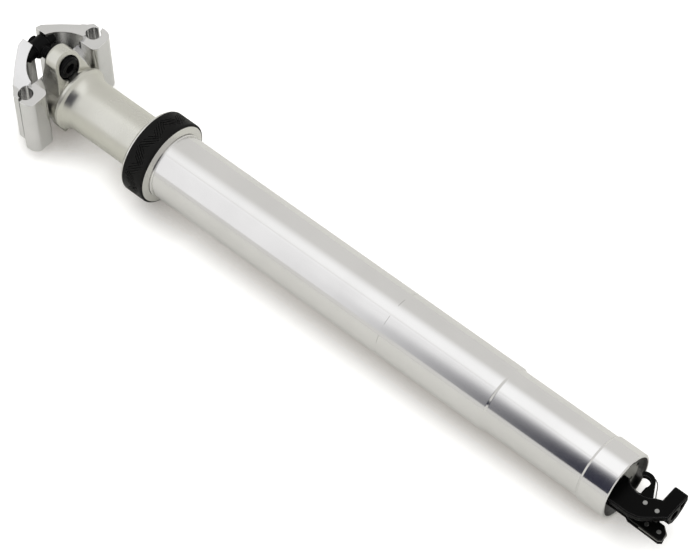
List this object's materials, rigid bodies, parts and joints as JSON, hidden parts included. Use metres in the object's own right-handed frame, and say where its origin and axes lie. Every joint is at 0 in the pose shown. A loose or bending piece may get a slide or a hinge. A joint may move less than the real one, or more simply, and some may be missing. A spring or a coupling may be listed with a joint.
{
  "type": "dropper seatpost",
  "caption": "Telescoping bicycle seatpost with a two-bolt saddle rail clamp, a sliding stanchion and a cable lever below that unlocks it.",
  "frame": {"origin": "on the post's axis at the tube's shoulder under the collar, where the frame's seat tube starts", "axes": "+Z along the post up to the saddle, Y along the saddle rails with -Y at the front bolt, X across the rails"},
  "size_m": [0.054, 0.0546, 0.3646],
  "materials": {
    "polished_tube": "satin",
    "champagne_head": "bead blasted and anodised",
    "silver_clamp": "satin anodised",
    "silver_collar": "turned",
    "black_anodised": "black anodised",
    "black_steel": "black oxide",
    "bright_steel": "bright",
    "grey_alloy": "machined",
    "black_rubber": "moulded",
    "seal_rubber": "matte",
    "bushing_polymer": "matte",
    "key_brass": "machined",
    "foam": "oiled foam",
    "spacer_nylon": "matte"
  },
  "bodies": {
    "post": {"outer_tube": "polished_tube", "collar": "silver_collar", "collar_band": "black_rubber", "wiper_seal": "seal_rubber", "foam_ring": "foam", "upper_bushing": "bushing_polymer", "bottom_cap": "polished_tube", "base_plate": "grey_alloy", "cartridge_rod": "bright_steel", "rod_piston": "grey_alloy", "piston_seal": "seal_rubber", "actuator_bracket": "black_anodised", "side_plate_inner": "black_steel", "side_plate_outer": "black_steel", "plate_spacer": "spacer_nylon", "bracket_pins": "bright_steel", "plate_rivets": "bright_steel"},
    "stanchion": {"stanchion_head": "champagne_head", "lower_bushing": "bushing_polymer", "anti_rotation_keys": "key_brass", "cartridge_body": "grey_alloy", "cartridge_seal_head": "grey_alloy", "cartridge_top_plug": "grey_alloy", "cartridge_clip": "bright_steel", "clamp_bolts": "black_steel"},
    "saddle_clamp": {"lower_cradle": "silver_clamp", "upper_clamp_left": "silver_clamp", "upper_clamp_right": "silver_clamp"},
    "front_nut": {"barrel_nut_front": "black_steel"},
    "rear_nut": {"barrel_nut_rear": "black_steel"},
    "lever": {"release_lever": "black_anodised", "return_spring": "bright_steel"},
    "pin": {"release_pin": "bright_steel"}
  },
  "joints": [
    {"name": "travel", "type": "slide", "parent": "post", "child": "stanchion", "axis": [0, 0, 1], "range_m": [0, 0.15]},
    {"name": "saddle_tilt", "type": "hinge", "parent": "stanchion", "child": "saddle_clamp", "pos_m": [0, 0, 0.081], "axis": [1, 0, 0], "range_deg": [-6, 6]},
    {"name": "front_nut_turn", "type": "hinge", "parent": "saddle_clamp", "child": "front_nut", "pos_m": [0, -0.019, 0.081], "axis": [1, 0, 0], "range_deg": [-6, 6]},
    {"name": "rear_nut_turn", "type": "hinge", "parent": "saddle_clamp", "child": "rear_nut", "pos_m": [0, 0.019, 0.081], "axis": [1, 0, 0], "range_deg": [-6, 6]},
    {"name": "lever_swing", "type": "hinge", "parent": "post", "child": "lever", "pos_m": [-0.0039, 0, -0.2646], "axis": [0, 1, 0], "range_deg": [0, 20]},
    {"name": "pin_lift", "type": "slide", "parent": "post", "child": "pin", "axis": [0, 0, 1], "range_m": [0, 0.0012], "stiffness_N_per_m": 50, "springref_m": -0.001}
  ],
  "couplings": [
    {"joint": "front_nut_turn", "follows": "saddle_tilt", "ratio": -1},
    {"joint": "rear_nut_turn", "follows": "saddle_tilt", "ratio": -1},
    {"joint": "lever_swing", "follows": "pin_lift", "rad_per_m": 290.89}
  ]
}
